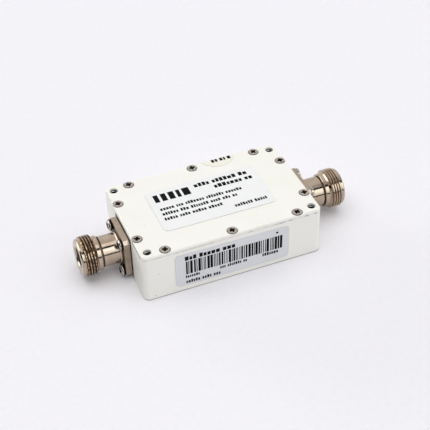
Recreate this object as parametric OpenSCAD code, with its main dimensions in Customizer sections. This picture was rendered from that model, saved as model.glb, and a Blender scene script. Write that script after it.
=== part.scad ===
// Small coaxial bandpass filter: a milled, painted box with a screwed-on cover and a jack on each end.
// X runs along the box from the input jack to the output jack, +Y is the rear wall, +Z is up.
// The origin is at the middle of the underside. Lengths are in millimetres.

/* [Box] */
// Length of the box between its end walls
body_l = 73; // [72:0.5:90]
// Width of the box from front to rear
body_w = 46; // [45:0.5:60]
// Height of the box with its cover
body_h = 21.3; // [20.5:0.1:26]
// Radius of the upright corners
corner_r = 2; // [1:0.1:2.2]
// Width of the broken edges all round
edge_break = 0.35; // [0.1:0.05:0.5]
// Thickness of the walls
wall_t = 3.6; // [3.4:0.1:4.2]
// Thickness of the floor under the board's clearance pocket
floor_t = 3.2; // [2:0.1:5]
// Radius that the milling cutter leaves in the pocket's corners
cutter_r = 2.5; // [1:0.25:3]

/* [Cover] */
// Thickness of the cover plate
cover_t = 1.4; // [1.2:0.1:2]
// Distance from the walls' outer faces to the middle of the cover screws
screw_inset = 2; // [1.9:0.05:2.2]
// Distance between the outer screws along the front and the rear
screw_span_x = 53.8; // [50:0.2:56]
// Distance between the two screws on each end
screw_span_y = 22.6; // [20:0.2:24]
// Thread diameter of the cover screws
cover_screw_d = 2; // [1.8:0.1:2.2]
// Length of the cover screws under the cover's top
cover_screw_l = 6; // [4:0.5:7]
// Diameter of the cover screws' heads
cover_head_d = 4.1; // [3.8:0.1:4.2]
// Height of the heads' rims above the cover
cover_head_rise = 0.2; // [0.05:0.05:0.3]
// How far the tapped holes for the cover run past their screws
tap_runout = 1; // [0.4:0.1:1.4]

/* [Mounting holes] */
// Diameter of the four through holes
mount_d = 3.2; // [2.6:0.1:3.4]
// Distance from the end walls to the middle of the through holes
mount_inset_x = 3; // [2.8:0.1:3.2]
// Distance from the front and rear walls to the middle of the through holes
mount_inset_y = 3.2; // [3:0.1:3.4]
// Metal round each through hole, inside the pocket
mount_wall = 1.6; // [1.2:0.1:2]

/* [Jack shell] */
// Side of the square flange
flange_w = 17.5; // [17:0.1:17.8]
// Thickness of the flange
flange_t = 2.75; // [2.2:0.05:3.2]
// Width of the cut-off flange corners
flange_chamfer = 1.3; // [0.6:0.1:1.6]
// Diameter of the raised ring at the foot of the barrel
boss_d = 13.2; // [12.8:0.1:13.2]
// Height of the raised ring
boss_l = 0.8; // [0.5:0.1:1.2]
// Diameter of the plain barrel
barrel_d = 12.2; // [11.8:0.1:12.5]
// Distance from the wall to the end of the barrel
barrel_end = 10.5; // [9.6:0.1:10.8]
// Depth of the relief groove at the end of the barrel
relief_depth = 0.3; // [0.1:0.05:0.4]
// Width of the relief groove
relief_w = 0.5; // [0.3:0.1:1]
// Diameter of the collar behind the thread
collar_d = 13.7; // [13.3:0.1:14]
// Distance from the wall to the start of the thread
thread_start = 12.2; // [11.8:0.1:12.6]
// Length of the cone that leads from the collar up to the thread
thread_lead = 0.9; // [0.3:0.1:1]
// Diameter over the thread
thread_d = 15.875; // [15.7:0.005:15.9]
// Distance from the wall to the end of the thread
thread_end = 17; // [16.8:0.05:17.2]
// Diameter of the plain nose
nose_d = 14.8; // [14.2:0.1:15]
// Chamfer on the edge of the nose
nose_chamfer = 0.5; // [0.2:0.1:0.8]
// Distance from the wall to the jack's front face
jack_l = 18.75; // [18.25:0.05:19.5]
// Diameter of the socket
socket_d = 8.1; // [8.0:0.05:8.15]
// Depth of the socket from the front face
socket_depth = 9; // [8.6:0.1:9.2]
// Chamfer at the mouth of the socket
mouth_chamfer = 0.6; // [0.1:0.05:0.7]
// Diameter of the step behind the socket
seat_d = 7; // [6.6:0.1:7.2]

/* [Jack inner parts] */
// Diameter of the insulator
insulator_d = 9.6; // [9:0.1:9.8]
// Length of the air space between the socket and the insulator
air_gap_l = 2.4; // [1.8:0.1:2.8]
// Thickness of the ring pressed in behind the insulator
bush_t = 2; // [1.5:0.1:2.2]
// Diameter of the insulator's tail, which goes through the wall
tail_d = 4.1; // [3.6:0.1:4.4]
// Diameter of the contact's socket end
contact_d = 3.04; // [2.9:0.02:3.2]
// Distance from the jack's front face to the contact's tip
contact_recess = 5.2; // [5:0.1:5.5]
// Bore of the contact
contact_bore_d = 1.68; // [1.5:0.02:1.8]
// Depth of the contact's bore
contact_bore_l = 5; // [4:0.1:5.5]
// Width of the slots in the contact
contact_slot_w = 0.35; // [0.2:0.05:0.5]
// Length of the slots in the contact
contact_slot_l = 3.6; // [2.5:0.1:4]
// Thickness of insulator left between the bush and the contact's thick end
contact_web = 1; // [0.6:0.1:1.6]
// Diameter of the contact's solder pin
pin_d = 1.3; // [1.1:0.05:1.5]
// Length of the solder pin inside the box
pin_reach = 2.6; // [2.2:0.1:3]
// Bare length of the solder pin between the wall and its solder
bare_pin_l = 1; // [0.6:0.1:1.4]
// Thickness of the solder under the pin
solder_film = 0.1; // [0.05:0.05:0.2]

/* [Flange screws] */
// Distance between the flange screws
flange_screw_pitch = 12.7; // [12.6:0.05:12.8]
// Thread diameter of the flange screws
flange_screw_d = 2.5; // [2.2:0.1:2.6]
// Length of the flange screws under the head
flange_screw_l = 5.6; // [5:0.2:6]
// Diameter of the flange screws' heads
flange_head_d = 4.6; // [4.2:0.1:4.8]
// Height of the flange screws' heads
flange_head_h = 1.8; // [1.4:0.1:2]

/* [Board] */
// Thickness of the circuit board
board_t = 0.8; // [0.5:0.1:1.2]
// Gap between the board's edge and the pocket
board_gap = 0.4; // [0.2:0.1:0.6]
// Width of the shelf that the board rests on, along the long walls
shelf_w = 5; // [4.6:0.1:5.5]
// Width of the shelf at the ends
shelf_end_w = 8.5; // [8:0.1:9]
// Height of the printed tracks
track_t = 0.1; // [0.05:0.05:0.2]
// Width of the main track
track_w = 3; // [2.6:0.1:3.4]
// Gap in the main track under each coupling capacitor
track_gap = 1; // [0.8:0.1:1.2]
// Number of tuned circuits
resonators = 5; // [3:1:6]
// Thread diameter of the board screws
board_screw_d = 2; // [1.8:0.1:2.2]
// Length of the board screws under the head
board_screw_l = 4; // [3:0.5:4.5]
// Diameter of the board screws' heads
board_head_d = 3.6; // [3.2:0.1:3.8]
// Height of the board screws' heads
board_head_h = 1.2; // [1:0.1:1.4]

/* [Components] */
// Length of a chip capacitor
chip_l = 2; // [1.8:0.1:2.4]
// Width of a chip capacitor
chip_w = 1.25; // [1:0.05:1.4]
// Height of a chip capacitor
chip_h = 0.8; // [0.5:0.05:1.2]
// Outer diameter of a coil
coil_d = 4.4; // [3.6:0.1:5]
// Diameter of the coil's wire
wire_d = 0.7; // [0.5:0.05:0.8]
// Turns on each coil
coil_turns = 9; // [6:1:10]

/* [Labels] */
// Thickness of the labels
label_t = 0.1; // [0.05:0.05:0.2]
// Length of the label on the cover
rating_l = 46.2; // [40:0.2:48]
// Width of the label on the cover
rating_w = 25; // [20:0.2:26]
// Distance of that label's middle behind the cover's middle
rating_shift = 0.65; // [0:0.05:1.4]
// Distance of that label's middle from the cover's middle, towards the input
rating_slide = 0.35; // [0:0.05:1]
// Length of the label on the front wall
serial_l = 46.8; // [40:0.2:50]
// Height of the label on the front wall
serial_h = 15.8; // [12:0.2:16]
// Distance of that label's middle from the wall's middle, towards the input
serial_slide = 0.65; // [0:0.05:1]
// Height of that label's middle above the jacks' axis
serial_rise = 0.15; // [0:0.05:0.3]
// Tilt of the label on the front wall, in degrees
serial_tilt = 0.5; // [0:0.1:1.5]
// Radius of the corners of both labels
label_r = 2; // [1:0.1:3]
// Diameter of the round seal
seal_d = 14.8; // [12:0.2:16]
// Distance of the seal's middle from the box's middle, towards the output
seal_x = 11.8; // [10:0.1:14]
// How far the seal reaches onto the cover
seal_reach = 5.4; // [4:0.1:6]

/* [Hidden] */
$fn = 64;

// Colours, as the photograph shows them
paint = "#f4f2ea";
plated = "#9b8c7d";
steel = "#a8a19a";
bright = "#c9c9c9";
gold = "#c9a24a";
copper = "#b8733a";

// Clearances between pieces that pass through each other
screw_clearance = 0.3;
thread_clearance = 0.05;
tail_clearance = 0.1;
cut = 1;

// The recess in a screw's head, as shares of the head
recess_reach = 0.55;
recess_arm = 0.14;
recess_depth = 0.6;

// Heights
seam_z = body_h - cover_t;
jack_z = seam_z / 2;
track_top = jack_z - pin_d / 2 - solder_film;
board_top = track_top - track_t;
shelf_z = board_top - board_t;

// Pocket of the housing, in two levels
pocket_l = body_l - 2 * wall_t;
pocket_w = body_w - 2 * wall_t;
neck_l = body_l - 2 * (mount_inset_x + mount_d / 2 + mount_wall);
neck_w = body_w - 2 * (mount_inset_y + mount_d / 2 + mount_wall);
board_l = pocket_l - 2 * board_gap;
board_w = neck_w - 2 * board_gap;
well_l = pocket_l - 2 * shelf_end_w;
well_w = neck_w - 2 * shelf_w;

// Places of the fasteners
mount_x = body_l / 2 - mount_inset_x;
mount_y = body_w / 2 - mount_inset_y;
mount_places = [for (x = [-mount_x, mount_x], y = [-mount_y, mount_y]) [x, y]];
side_screw_y = body_w / 2 - screw_inset;
end_screw_x = body_l / 2 - screw_inset;
cover_screw_places = concat(
    [for (x = [-screw_span_x / 2, 0, screw_span_x / 2], s = [-1, 1]) [x, s * side_screw_y]],
    [for (y = [-screw_span_y / 2, screw_span_y / 2], s = [-1, 1]) [s * end_screw_x, y]]
);
flange_screw_places = [for (y = [-1, 1], z = [-1, 1]) [y, z] * flange_screw_pitch / 2];
board_screw_x = (well_l + board_l) / 4;
board_screw_y = (well_w + board_w) / 4;
board_screw_places = [for (x = [-board_screw_x, 0, board_screw_x], s = [-1, 1]) [x, s * board_screw_y]];

// The countersink is a 90 degree cone from the head's rim down to the thread
sink_h = (cover_head_d - cover_screw_d) / 2;

// Inner lengths of the jack, measured outwards from the wall
contact_tip = jack_l - contact_recess;
insulator_end = jack_l - socket_depth - air_gap_l;
contact_foot = bush_t + contact_web;
pin_end = -(wall_t + pin_reach);
solder_l = pin_reach - bare_pin_l;

// Layout on the board
resonator_pitch = (well_l + chip_l) / resonators;
resonator_places = [for (i = [0 : resonators - 1]) (i - (resonators - 1) / 2) * resonator_pitch];
coupling_places = [for (i = [0 : resonators]) (i - resonators / 2) * resonator_pitch];
coil_l = coil_turns * wire_d;
ground_w = 2.4;
coil_y = track_w / 2 + coil_l / 2 - wire_d;
coil_lift = 0.4;
chip_y = -(track_w / 2 + track_gap / 2);

// A flat outline with round corners
module rounded_plan(l, w, r) {
    square([l - 2 * r, w], center = true);
    square([l, w - 2 * r], center = true);
    for (x = [-1, 1], y = [-1, 1])
        translate([x * (l / 2 - r), y * (w / 2 - r)]) circle(r);
}

module rounded_block(l, w, h, r) {
    linear_extrude(h) rounded_plan(l, w, r);
}

// What is cut away along the top rim of a block whose top is at zero
module rim_cutter(l, w, r, c) {
    section = [[-c, 0], [-c, cut], [cut, cut], [cut, -c], [0, -c]];
    for (s = [0, 180]) rotate(s) {
        translate([0, w / 2, 0]) rotate([90, 0, 90])
            linear_extrude(l - 2 * r, center = true) polygon(section);
        translate([l / 2, 0, 0]) rotate([90, 0, 0])
            linear_extrude(w - 2 * r, center = true) polygon(section);
        for (m = [0, 1]) mirror([m, 0, 0])
            translate([l / 2 - r, w / 2 - r, 0])
                rotate_extrude(angle = 90) translate([r, 0]) polygon(section);
    }
}

// Places its children on an end wall, with their own Z pointing out of the wall: -1 input, 1 output
module on_end(side) {
    translate([side * body_l / 2, 0, jack_z])
        rotate([0, side * 90, 0])
            rotate(side * 90) children();
}

// The cross in a screw's head, cut down from zero
module cross_recess(head_d, depth) {
    reach = head_d * recess_reach;
    arm_w = head_d * recess_arm;
    for (a = [0, 90]) rotate(a)
        translate([-reach / 2, -arm_w / 2, -depth]) cube([reach, arm_w, depth + cut]);
}

module housing() {
    color(paint) difference() {
        rounded_block(body_l, body_w, seam_z, corner_r);
        translate([0, 0, seam_z]) rim_cutter(body_l, body_w, corner_r, edge_break / 2);
        mirror([0, 0, 1]) rim_cutter(body_l, body_w, corner_r, edge_break);
        // upper pocket, which leaves a block of metal round each corner hole
        translate([0, 0, shelf_z]) {
            rounded_block(pocket_l, neck_w, seam_z, cutter_r);
            rounded_block(neck_l, pocket_w, seam_z, cutter_r);
        }
        // clearance well under the board
        translate([0, 0, floor_t]) rounded_block(well_l, well_w, seam_z, cutter_r);
        for (p = mount_places) translate([p.x, p.y, -cut]) cylinder(d = mount_d, h = body_h + 2 * cut);
        for (p = cover_screw_places) translate([p.x, p.y, body_h - cover_screw_l - tap_runout])
            cylinder(d = cover_screw_d, h = cover_screw_l + tap_runout);
        for (p = board_screw_places) translate([p.x, p.y, shelf_z - board_screw_l])
            cylinder(d = board_screw_d, h = board_screw_l + cut);
        for (side = [-1, 1]) on_end(side) {
            translate([0, 0, -wall_t - cut])
                cylinder(d = tail_d + 2 * tail_clearance, h = wall_t + 2 * cut);
            for (p = flange_screw_places) translate([p.x, p.y, -wall_t - cut])
                cylinder(d = flange_screw_d, h = wall_t + 2 * cut);
        }
    }
}

module cover() {
    color(paint) difference() {
        translate([0, 0, seam_z]) rounded_block(body_l, body_w, cover_t, corner_r);
        translate([0, 0, body_h]) rim_cutter(body_l, body_w, corner_r, edge_break);
        for (p = mount_places) translate([p.x, p.y, seam_z - cut])
            cylinder(d = mount_d, h = cover_t + 2 * cut);
        for (p = cover_screw_places) translate([p.x, p.y, body_h]) {
            translate([0, 0, -cover_t - cut])
                cylinder(d = cover_screw_d + screw_clearance, h = cover_t + 2 * cut);
            translate([0, 0, -sink_h]) cylinder(d1 = cover_screw_d, d2 = cover_head_d, h = sink_h);
            cylinder(d = cover_head_d, h = cut);
        }
    }
}

module cover_screw() {
    difference() {
        union() {
            translate([0, 0, -cover_screw_l])
                cylinder(d = cover_screw_d - 2 * thread_clearance, h = cover_screw_l);
            translate([0, 0, -sink_h]) cylinder(d1 = cover_screw_d, d2 = cover_head_d, h = sink_h);
            cylinder(d1 = cover_head_d, d2 = cover_head_d - 2 * cover_head_rise, h = cover_head_rise);
        }
        translate([0, 0, cover_head_rise])
            cross_recess(cover_head_d, (sink_h + cover_head_rise) * recess_depth);
    }
}

module cover_screws() {
    color(steel) for (p = cover_screw_places) translate([p.x, p.y, body_h]) cover_screw();
}

// Outline of the shell from the flange's front to the nose, as radius and distance from the wall
function shell_outline() = [
    [0, 0],
    [boss_d / 2, 0],
    [boss_d / 2, flange_t + boss_l / 2],
    [boss_d / 2 - boss_l / 2, flange_t + boss_l],
    [barrel_d / 2, flange_t + boss_l],
    [barrel_d / 2, barrel_end - relief_w],
    [barrel_d / 2 - relief_depth, barrel_end - relief_w],
    [barrel_d / 2 - relief_depth, barrel_end],
    [collar_d / 2 - relief_depth, barrel_end],
    [collar_d / 2, barrel_end + relief_depth],
    [collar_d / 2, thread_start],
    [thread_d / 2, thread_start + thread_lead],
    [thread_d / 2, thread_end],
    [nose_d / 2, thread_end + (thread_d - nose_d) / 2],
    [nose_d / 2, jack_l - nose_chamfer],
    [nose_d / 2 - nose_chamfer, jack_l],
    [0, jack_l]
];

// Steps of the bore, from the wall to the mouth
function bore_outline() = [
    [0, -cut],
    [insulator_d / 2, -cut],
    [insulator_d / 2, insulator_end],
    [seat_d / 2, insulator_end],
    [seat_d / 2, jack_l - socket_depth],
    [socket_d / 2, jack_l - socket_depth],
    [socket_d / 2, jack_l - mouth_chamfer],
    [socket_d / 2 + mouth_chamfer, jack_l],
    [socket_d / 2 + mouth_chamfer, jack_l + cut],
    [0, jack_l + cut]
];

module flange_plan() {
    half = flange_w / 2;
    inner = half - flange_chamfer;
    polygon([[-inner, -half], [inner, -half], [half, -inner], [half, inner],
             [inner, half], [-inner, half], [-half, inner], [-half, -inner]]);
}

module jack_shell(side) {
    color(plated) on_end(side) difference() {
        union() {
            linear_extrude(flange_t) flange_plan();
            rotate_extrude() polygon(shell_outline());
        }
        rotate_extrude() polygon(bore_outline());
        for (p = flange_screw_places) translate([p.x, p.y, -cut])
            cylinder(d = flange_screw_d + screw_clearance, h = flange_t + 2 * cut);
    }
}

module insulator(side) {
    color("white") on_end(side) difference() {
        union() {
            translate([0, 0, bush_t]) cylinder(d = insulator_d, h = insulator_end - bush_t);
            translate([0, 0, -wall_t]) cylinder(d = tail_d, h = wall_t + bush_t);
        }
        translate([0, 0, contact_foot]) cylinder(d = contact_d, h = insulator_end);
        translate([0, 0, -wall_t - cut]) cylinder(d = pin_d, h = wall_t + contact_foot + 2 * cut);
    }
}

module retaining_bush(side) {
    color(bright) on_end(side) difference() {
        cylinder(d = insulator_d, h = bush_t);
        translate([0, 0, -cut]) cylinder(d = tail_d, h = bush_t + 2 * cut);
    }
}

module contact(side) {
    color(gold) on_end(side) difference() {
        union() {
            translate([0, 0, contact_foot]) cylinder(d = contact_d, h = contact_tip - contact_foot);
            translate([0, 0, pin_end]) cylinder(d = pin_d, h = contact_foot - pin_end);
        }
        translate([0, 0, contact_tip - contact_bore_l])
            cylinder(d = contact_bore_d, h = contact_bore_l + cut);
        for (a = [0, 90]) rotate(a)
            translate([-contact_d, -contact_slot_w / 2, contact_tip - contact_slot_l])
                cube([2 * contact_d, contact_slot_w, contact_slot_l + cut]);
    }
}

// A round head with a softened rim, standing on zero
module pan_head(d, h) {
    rim = h / 3;
    rotate_extrude() polygon([[0, 0], [d / 2, 0], [d / 2, h - rim],
        for (a = [15 : 15 : 75]) [d / 2 - rim + rim * cos(a), h - rim + rim * sin(a)],
        [d / 2 - rim, h], [0, h]]);
}

module pan_screw(d, l, head_d, head_h) {
    difference() {
        union() {
            pan_head(head_d, head_h);
            translate([0, 0, -l]) cylinder(d = d - 2 * thread_clearance, h = l);
        }
        translate([0, 0, head_h]) cross_recess(head_d, head_h * recess_depth);
    }
}

module flange_screws(side) {
    color(bright) on_end(side) for (p = flange_screw_places) translate([p.x, p.y, flange_t])
        pan_screw(flange_screw_d, flange_screw_l, flange_head_d, flange_head_h);
}

module circuit_board() {
    color("#2f6b45") difference() {
        translate([0, 0, shelf_z]) union() {
            rounded_block(board_l, board_w, board_t, cutter_r);
            translate([0, 0, board_t]) tracks();
        }
        for (p = board_screw_places) translate([p.x, p.y, shelf_z - cut])
            cylinder(d = board_screw_d + screw_clearance, h = board_t + 2 * cut);
    }
}

// The main line with a gap under each coupling capacitor, and a ground strip on each side of it
module tracks() {
    difference() {
        translate([-board_l / 2, -track_w / 2, 0]) cube([board_l, track_w, track_t]);
        for (x = coupling_places) translate([x - track_gap / 2, -track_w / 2 - cut, -cut])
            cube([track_gap, track_w + 2 * cut, track_t + 2 * cut]);
    }
    strip_l = (resonators - 1) * resonator_pitch + coil_d;
    far_leg_y = coil_y + (coil_l - wire_d) / 2;
    translate([-strip_l / 2, far_leg_y - ground_w / 2, 0]) cube([strip_l, ground_w, track_t]);
    translate([-strip_l / 2, chip_y - track_gap / 2 - ground_w, 0]) cube([strip_l, ground_w, track_t]);
}

module board_screws() {
    color(steel) for (p = board_screw_places) translate([p.x, p.y, board_top])
        pan_screw(board_screw_d, board_screw_l, board_head_d, board_head_h);
}

// A fillet of solder that climbs both sides of each pin
module solder_joints() {
    foot = pin_d;
    shoulder = pin_d * 0.6;
    rise = pin_d * 0.8;
    color("silver") for (side = [-1, 1]) difference() {
        translate([side * (pocket_l / 2 - pin_reach + solder_l / 2), 0, track_top])
            rotate([90, 0, 90]) linear_extrude(solder_l, center = true)
                polygon([[-foot, 0], [foot, 0], [shoulder, rise], [-shoulder, rise]]);
        on_end(side) translate([0, 0, pin_end - cut]) cylinder(d = pin_d, h = pin_reach + 2 * cut);
    }
}

// Section of a close-wound coil, as radius and distance along it, out on one side and back on the other
function coil_section(mean_r) =
    let (places = [for (i = [0 : coil_turns - 1]) (i - (coil_turns - 1) / 2) * wire_d])
    concat(
        [for (y = places, a = [-60 : 30 : 60]) [mean_r + wire_d / 2 * cos(a), y + wire_d / 2 * sin(a)]],
        [for (y = places, a = [120 : 30 : 240]) [mean_r + wire_d / 2 * cos(a), -y + wire_d / 2 * sin(a)]]
    );

// A coil lies along Y. Its turns touch, and a flattened leg at each end stands on the board.
module coil() {
    mean_r = (coil_d - wire_d) / 2;
    axis_z = coil_d / 2 + coil_lift;
    leg_w = wire_d * 0.8;
    translate([0, 0, axis_z]) rotate([90, 0, 0]) rotate_extrude() polygon(coil_section(mean_r));
    for (s = [-1, 1]) translate([-leg_w / 2, s * (coil_l - wire_d) / 2 - leg_w / 2, 0])
        cube([leg_w, leg_w, axis_z - mean_r]);
}

module resonator_coils() {
    color(copper) for (x = resonator_places) translate([x, coil_y, track_top]) coil();
}

module chip(along_y) {
    rotate(along_y ? 90 : 0) translate([-chip_l / 2, -chip_w / 2, 0]) cube([chip_l, chip_w, chip_h]);
}

module resonator_capacitors() {
    color("tan") for (x = resonator_places) translate([x, chip_y, track_top]) chip(true);
}

module coupling_capacitors() {
    color("tan") for (x = coupling_places) translate([x, 0, track_top]) chip(false);
}

module rating_label() {
    color("#f3f4f6") translate([-rating_slide, rating_shift, body_h])
        rounded_block(rating_l, rating_w, label_t, label_r);
}

module serial_label() {
    color("#c6cad2") translate([-serial_slide, -body_w / 2, jack_z + serial_rise])
        rotate([90, 0, 0]) rotate(-serial_tilt) rounded_block(serial_l, serial_h, label_t, label_r);
}

// The seal is a disc folded square over the rear top edge
module seal_label() {
    past_edge = seal_d / 2 - seal_reach;
    color("#f3ece2") translate([seal_x, body_w / 2, body_h]) {
        intersection() {
            translate([0, past_edge, 0]) cylinder(d = seal_d, h = label_t);
            translate([-seal_d, -seal_d, 0]) cube([2 * seal_d, seal_d + label_t, label_t]);
        }
        intersection() {
            translate([0, 0, -past_edge]) rotate([-90, 0, 0]) cylinder(d = seal_d, h = label_t);
            translate([-seal_d, 0, -2 * seal_d]) cube([2 * seal_d, label_t, 2 * seal_d + label_t]);
        }
    }
}

housing();
cover();
cover_screws();
jack_shell(-1);  // input_jack_shell
insulator(-1);  // input_insulator
retaining_bush(-1);  // input_retaining_bush
contact(-1);  // input_contact
flange_screws(-1);  // input_flange_screws
jack_shell(1);  // output_jack_shell
insulator(1);  // output_insulator
retaining_bush(1);  // output_retaining_bush
contact(1);  // output_contact
flange_screws(1);  // output_flange_screws
circuit_board();
board_screws();
solder_joints();
resonator_coils();
resonator_capacitors();
coupling_capacitors();
rating_label();
serial_label();
seal_label();
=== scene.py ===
# %% [markdown]
# A small bandpass filter with a coaxial jack on each end. The real one is a milled aluminium box, sprayed
# white, with a plate screwed on top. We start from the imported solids, which give every size and place, and
# dress them: pieces that show get softer edges, threads, screw recesses and print, and every surface gets a
# finish of its own.

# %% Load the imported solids
import math
import random

import bmesh
import bpy
from mathutils import Matrix, Vector


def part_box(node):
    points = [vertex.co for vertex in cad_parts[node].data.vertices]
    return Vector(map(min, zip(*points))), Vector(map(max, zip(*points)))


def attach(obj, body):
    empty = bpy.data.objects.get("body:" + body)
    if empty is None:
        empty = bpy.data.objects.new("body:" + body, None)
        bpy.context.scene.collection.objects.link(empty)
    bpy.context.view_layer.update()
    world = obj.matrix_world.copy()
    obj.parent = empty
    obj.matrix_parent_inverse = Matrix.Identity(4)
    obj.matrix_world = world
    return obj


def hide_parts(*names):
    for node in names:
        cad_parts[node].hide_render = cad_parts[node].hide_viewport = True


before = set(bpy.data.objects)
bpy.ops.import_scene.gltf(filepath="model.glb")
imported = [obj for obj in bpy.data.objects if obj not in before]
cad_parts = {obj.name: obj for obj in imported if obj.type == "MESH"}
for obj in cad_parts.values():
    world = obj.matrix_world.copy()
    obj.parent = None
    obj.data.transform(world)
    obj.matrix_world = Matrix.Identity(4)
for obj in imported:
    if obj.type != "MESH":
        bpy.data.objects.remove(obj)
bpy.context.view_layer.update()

MM = 0.001
print("nodes:", len(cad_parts))

# %% [markdown]
# Every size that a piece shares with the solids is read from the frame, so the dressing still fits if a
# size in the solids changes. The box is centred on the origin and stands on its underside, and the jacks'
# axis is at half the height of the housing.

# %% Sizes from the frame, in millimetres
def span(node, axis):
    """Lowest and highest place of a node along one axis, in millimetres."""
    low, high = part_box(node)
    return low[axis] / MM, high[axis] / MM


body_l = span("housing", 0)[1] * 2
body_w = span("housing", 1)[1] * 2
seam_z = span("housing", 2)[1]
top_z = span("cover", 2)[1]
jack_z = seam_z / 2
jack_l = span("output_jack_shell", 0)[1] - body_l / 2
flange_w = span("output_jack_shell", 1)[1] * 2
print(f"box {body_l:.1f} x {body_w:.1f} x {top_z:.1f} mm, jacks reach {jack_l:.2f} mm from the walls")

# %% [markdown]
# The camera stands in front of the box and to its left, and looks down on it. A long lens keeps the box's
# edges nearly parallel. The angles, distance and lens were worked out from the edges, holes and screws in
# the photograph. The small roll and the two small shifts of the aim finish the framing.

# %% Camera
VIEW_AZIMUTH = -20.92
VIEW_ELEVATION = 39.86
VIEW_ROLL = -1.82
VIEW_DISTANCE = 0.4445
AIM_RIGHT = 0.000906
AIM_UP = 0.00979
LENS = 92.7
CLIP_START = 0.01

azimuth, elevation, roll = (math.radians(a) for a in (VIEW_AZIMUTH, VIEW_ELEVATION, VIEW_ROLL))
back = Vector((math.sin(azimuth) * math.cos(elevation), -math.cos(azimuth) * math.cos(elevation),
               math.sin(elevation)))
level = (-back).cross(Vector((0, 0, 1))).normalized()
upright = back.cross(level)
right = math.cos(roll) * level + math.sin(roll) * upright
up = math.cos(roll) * upright - math.sin(roll) * level
eye = back * VIEW_DISTANCE + right * AIM_RIGHT + up * AIM_UP
camera = bpy.data.objects.new("camera", bpy.data.cameras.new("camera"))
camera.data.lens = LENS
camera.data.clip_start = CLIP_START
camera.matrix_world = Matrix.Translation(eye) @ Matrix((right, up, back)).transposed().to_4x4()
bpy.context.scene.collection.objects.link(camera)
bpy.context.scene.camera = camera
bpy.context.scene.view_settings.view_transform = "Standard"
print("camera at", [round(v, 3) for v in eye])

# %% [markdown]
# Colours are written as sRGB hex, the way a painter picks them, and one function turns them to the linear
# values that the shaders work in. Each finish is a small tree of nodes, so one function fills a node's
# inputs, with a list in their order or a dictionary by name or number, and another adds a node and sets it
# up.

# %% Colour and node helpers
def linear(code):
    """Turns an sRGB hex colour to linear red, green, blue and alpha."""
    parts = [int(code[i:i + 2], 16) / 255 for i in (1, 3, 5)]
    return [p / 12.92 if p <= 0.04045 else ((p + 0.055) / 1.055) ** 2.4 for p in parts] + [1.0]


def fill(tree, node, feeds):
    """Fills a node's inputs with values or links."""
    for place, value in feeds.items() if isinstance(feeds, dict) else enumerate(feeds):
        if isinstance(value, bpy.types.NodeSocket):
            tree.links.new(value, node.inputs[place])
        else:
            node.inputs[place].default_value = value


def add(tree, kind, feeds=(), stops=(), out=0, **settings):
    """Adds a node with its settings, inputs and, for a ramp, stops. Gives one output, or all for None."""
    node = tree.nodes.new("ShaderNode" + kind)
    for name, value in settings.items():
        setattr(node, name, value)
    fill(tree, node, feeds)
    for i, (place, colour) in enumerate(stops):
        stop = node.color_ramp.elements[i] if i < 2 else node.color_ramp.elements.new(place)
        stop.position = place
        stop.color = colour if len(colour) == 4 else (*colour * 3, 1.0)
    return node.outputs if out is None else node.outputs[out]


# %% Helpers for finishes
def start_finish(name, colour, roughness, metallic=0.0):
    """A new material with its shader set, and the object's own coordinates to place patterns with."""
    material = bpy.data.materials.new(name)
    material.use_nodes = True
    tree = material.node_tree
    shader = tree.nodes["Principled BSDF"]
    fill(tree, shader, {"Base Color": linear(colour), "Roughness": roughness, "Metallic": metallic})
    return material, tree, shader, add(tree, "TexCoord", out="Object")


def per_mm(size):
    """Scale of a texture whose features are this many millimetres across."""
    return 1 / (size * MM)


def wander(tree, place, size, detail, dark, light, start=0.3, end=0.7):
    """Marks of a size in millimetres, and the tone that they make between two colours."""
    marks = add(tree, "TexNoise", {"Vector": place, "Scale": per_mm(size), "Detail": detail})
    tone = add(tree, "ValToRGB", [marks], [(start, linear(dark)), (end, linear(light))])
    return marks, tone


# %% Helpers for masks
def near(tree, coordinate, middle, half, fade, unit=MM):
    """A mask that is 1 within half a width of a middle value and fades past it, in units of MM or 1."""
    away = add(tree, "Math", [coordinate, -middle * unit], operation="ADD")
    size = add(tree, "Math", [away], operation="ABSOLUTE")
    return add(tree, "MapRange", [size, half * unit, half * unit + fade * unit, 1.0, 0.0])


def join(tree, operation, *masks):
    """Several masks joined with the same sum, such as MULTIPLY or MAXIMUM."""
    value = masks[0]
    for mask in masks[1:]:
        value = add(tree, "Math", [value, mask], operation=operation)
    return value


# %% [markdown]
# The box is sprayed with white enamel over milled aluminium. The coat is slightly warm, half matt, and has
# the fine orange peel of sprayed paint, about 0.7 mm across. Dirt has settled where a cloth doesn't reach:
# thinly along the whole seam, and thickly at its front end on the left. Round the flanges and along the
# foot the enamel is darkened with painted shade, where the flanges and the floor meet the walls. The paint
# has chipped along the seam on the front, faintly on the left and strongly on the right, and a little on
# the cover's left rim near the rear. A few dark specks are scattered on the top and the front. Masks made
# from the object's own coordinates put each of these where it is. Noise breaks up the chips and moves the
# outlines of the dirt and of the painted shade, because an even line would look drawn. A band here is half
# a width and a fade, a range maps noise to a strength, and a share is the strength itself.

# %% Chips in the enamel
CHIP = 0.5
CHIP_EDGE = (0.47, 0.53)
CHIP_BAND = (0.16, 0.08)
RIM_DROP = 0.15
ON_FRONT = (0.4, 0.1)
ON_LEFT = (0.3, 0.1)
SPECK_CORE = 0.5
SPECK_SHARE = 0.8
FRONT_CHIPS = [(-36.2, -34.2, 0.25), (-33.2, -28.9, 0.35), (-23.4, -8.2, 0.4), (5.2, 7.2, 0.7),
               (15.5, 21.0, 0.8), (22.2, 24.2, 1.0), (29.3, 31.0, 1.0), (32.7, 34.4, 1.0)]
LEFT_CHIPS = [(13.3, 20.2, 0.5)]
SPECKS = [(-29.2, -4.9, top_z, 0.16), (12.3, -16.1, top_z, 0.16), (-30.5, -body_w / 2, 12.0, 0.2),
          (-32.4, -body_w / 2, 1.6, 0.22), (20.5, -body_w / 2, 17.2, 0.14), (-5.0, -19.2, top_z, 0.1)]


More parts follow.
